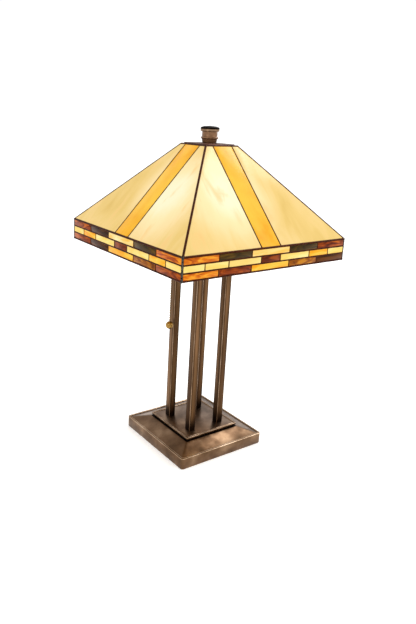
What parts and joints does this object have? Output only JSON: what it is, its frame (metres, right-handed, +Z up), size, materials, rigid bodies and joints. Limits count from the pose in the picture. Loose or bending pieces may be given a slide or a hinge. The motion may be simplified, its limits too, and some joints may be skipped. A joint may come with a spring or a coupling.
{
  "type": "table lamp",
  "caption": "Mission-style table lamp: a square stepped bronze base, slim square columns and a pyramid shade of opalescent stained glass with a brick-pattern apron, bead pull chain and finial.",
  "frame": {"origin": "on the resting surface, under the middle of the square base", "axes": "+Z up along the stem, +X and +Y square to the sides of the base, -Y and -X towards the two sides seen first, +Y towards the wall with the cord bushing"},
  "size_m": [0.3564, 0.3564, 0.6027],
  "materials": {
    "bronze": "antique bronze patina, satin, rubbed lighter on the edges",
    "steel": "zinc plated steel",
    "iron": "rough cast",
    "felt": "pressed wool felt",
    "phenolic": "moulded phenolic",
    "socket_brass": "aged brass sheet",
    "brass": "polished brass",
    "solder": "tin-lead solder with a dark patina",
    "bulb_glass": "frosted, lit",
    "cream_glass": "opalescent sheet glass, ivory with honey wisps",
    "amber_glass": "opalescent sheet glass, golden amber",
    "yellow_glass": "opalescent sheet glass, pale yellow",
    "brown_glass": "streaky sheet glass, orange, red and brown"
  },
  "bodies": {
    "root": {"felt_pad": "felt", "ballast_weight": "iron", "base_casting": "bronze", "base_plate": "bronze", "cord_bushing": "phenolic", "column_front_left": "bronze", "tie_pipe_front_left": "steel", "foot_nut_front_left": "steel", "column_front_right": "bronze", "tie_pipe_front_right": "steel", "foot_nut_front_right": "steel", "column_back_right": "bronze", "tie_pipe_back_right": "steel", "foot_nut_back_right": "steel", "column_back_left": "bronze", "tie_pipe_back_left": "steel", "foot_nut_back_left": "steel", "head_plate": "bronze", "centre_stem": "steel", "stem_lower_nut": "steel", "cluster_lock_nut": "steel", "shade_seat_nut": "steel", "cluster_body": "bronze", "socket_a": "socket_brass", "socket_b": "socket_brass", "pull_switch": "phenolic", "chain_guide": "brass"},
    "shade_seat": {"shade_washer": "steel"},
    "shade": {"shade_cap": "bronze", "solder_lattice": "solder", "pane_front_left": "cream_glass", "pane_front_strip": "amber_glass", "pane_front_right": "cream_glass", "apron_front_upper": "brown_glass", "apron_front_middle": "yellow_glass", "apron_front_lower": "brown_glass", "pane_right_left": "cream_glass", "pane_right_strip": "amber_glass", "pane_right_right": "cream_glass", "apron_right_upper": "brown_glass", "apron_right_middle": "yellow_glass", "apron_right_lower": "brown_glass", "pane_back_left": "cream_glass", "pane_back_strip": "amber_glass", "pane_back_right": "cream_glass", "apron_back_upper": "brown_glass", "apron_back_middle": "yellow_glass", "apron_back_lower": "brown_glass", "pane_left_left": "cream_glass", "pane_left_strip": "amber_glass", "pane_left_right": "cream_glass", "apron_left_upper": "brown_glass", "apron_left_middle": "yellow_glass", "apron_left_lower": "brown_glass"},
    "finial": {"finial": "bronze"},
    "bulb_a": {"bulb_a": "bulb_glass"},
    "bulb_b": {"bulb_b": "bulb_glass"},
    "pull_stub": {"pull_stub": "brass"},
    "pull_chain": {"pull_chain": "brass", "pull_ball": "brass"}
  },
  "joints": [
    {"name": "shade_lift", "type": "slide", "parent": "root", "child": "shade_seat", "axis": [0, 0, 1], "range_m": [0, 0.24]},
    {"name": "shade_turn", "type": "hinge", "parent": "shade_seat", "child": "shade", "pos_m": [0, 0, 0.5685], "axis": [0, 0, 1], "continuous": true},
    {"name": "finial_turn", "type": "hinge", "parent": "shade", "child": "finial", "pos_m": [0, 0, 0.57], "axis": [0, 0, 1], "continuous": true},
    {"name": "bulb_a_turn", "type": "hinge", "parent": "root", "child": "bulb_a", "pos_m": [-0.01841, 0.01841, 0.40453], "axis": [-0.2649, 0.2649, 0.9272], "continuous": true},
    {"name": "bulb_b_turn", "type": "hinge", "parent": "root", "child": "bulb_b", "pos_m": [0.01841, -0.01841, 0.40453], "axis": [0.2649, -0.2649, 0.9272], "continuous": true},
    {"name": "chain_pull", "type": "slide", "parent": "root", "child": "pull_stub", "axis": [0, 0, -1], "range_m": [0, 0.008], "stiffness_N_per_m": 600, "springref_m": -0.003},
    {"name": "chain_swing", "type": "hinge", "parent": "pull_stub", "child": "pull_chain", "pos_m": [-0.0516, 0.02406, 0.36305], "axis": [0.4226, 0.9063, 0], "range_deg": [-1, 14]}
  ]
}
